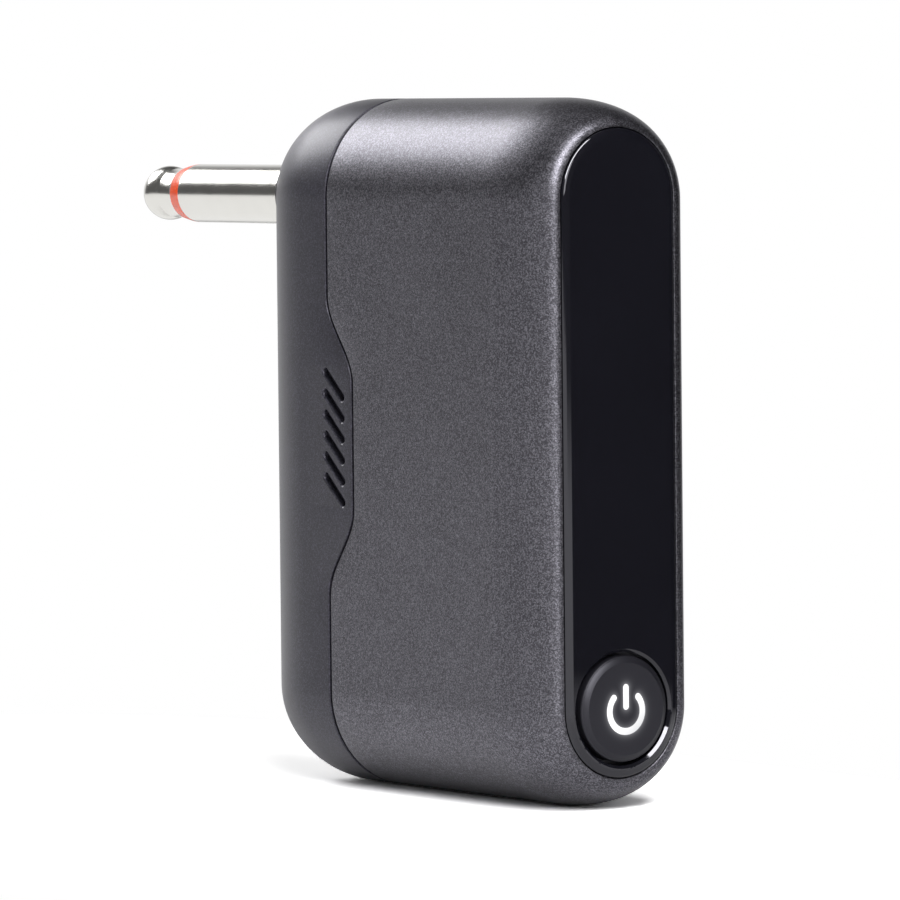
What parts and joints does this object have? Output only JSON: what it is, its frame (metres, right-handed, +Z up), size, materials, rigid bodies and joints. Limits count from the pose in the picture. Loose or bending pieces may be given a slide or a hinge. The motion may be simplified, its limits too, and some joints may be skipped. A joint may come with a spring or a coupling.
{
  "type": "wireless guitar transmitter",
  "caption": "Upright pocket transmitter with round ends, a glossy front panel and power button, and a 6.35 mm plug out of its rear that seats in an instrument's jack.",
  "frame": {"origin": "on the plug's axis, at the collar face that seats on the instrument's jack", "axes": "+Y along the plug out of the case, +Z up, front panel facing -Y, X across the width"},
  "size_m": [0.0208, 0.0855, 0.0721],
  "materials": {
    "housing_paint": "gunmetal with a fine sparkle, satin",
    "cover_plastic": "matte, fine texture",
    "panel_gloss": "gloss",
    "adhesive": "matte",
    "button_plastic": "matte",
    "light_guide": "translucent, lit",
    "nickel": "polished nickel",
    "orange_insulator": "satin",
    "collar_metal": "satin",
    "insulator": "matte",
    "steel": "plated",
    "tinned_brass": "tinned",
    "wire": "soft",
    "chassis_plastic": "matte",
    "circuit_board": "solder mask",
    "chip": "matte",
    "capacitor": "satin",
    "battery_foil": "wrapped foil",
    "foam": "open foam",
    "flex_film": "film",
    "seal_rubber": "matte"
  },
  "bodies": {
    "case": {"housing": "housing_paint", "rear_cover": "cover_plastic", "front_panel": "panel_gloss", "panel_adhesive": "adhesive", "plug_sleeve": "nickel", "plug_tip": "nickel", "plug_insulator": "orange_insulator", "plug_collar": "collar_metal", "plug_liner": "insulator", "plug_washer": "steel", "sleeve_lug": "tinned_brass", "plug_nut": "nickel", "plug_bush": "insulator", "tip_lug": "tinned_brass", "signal_wire": "wire", "ground_wire": "wire", "chassis": "chassis_plastic", "main_board": "circuit_board", "radio_shield": "steel", "radio_chip": "chip", "audio_chip": "chip", "charger_chip": "chip", "audio_capacitors": "capacitor", "antenna": "tinned_brass", "charging_socket": "steel", "socket_tongue": "chip", "battery": "battery_foil", "battery_pad": "foam", "battery_plug": "insulator", "battery_wires": "wire", "button_board": "circuit_board", "button_switch": "chip", "button_leds": "light_guide", "button_flex": "flex_film", "cover_seal": "seal_rubber", "case_screws": "steel", "cover_screws": "steel", "board_screws": "steel", "button_board_screws": "steel"},
    "button": {"power_button": "button_plastic", "power_icon": "light_guide"},
    "plunger": {"switch_plunger": "insulator"}
  },
  "joints": [
    {"name": "button_press", "type": "slide", "parent": "case", "child": "button", "axis": [0, 1, 0], "range_m": [0, 0.00035], "stiffness_N_per_m": 800},
    {"name": "plunger_press", "type": "slide", "parent": "case", "child": "plunger", "axis": [0, 1, 0], "range_m": [0, 0.00035]}
  ],
  "couplings": [
    {"joint": "plunger_press", "follows": "button_press", "ratio": 1}
  ]
}
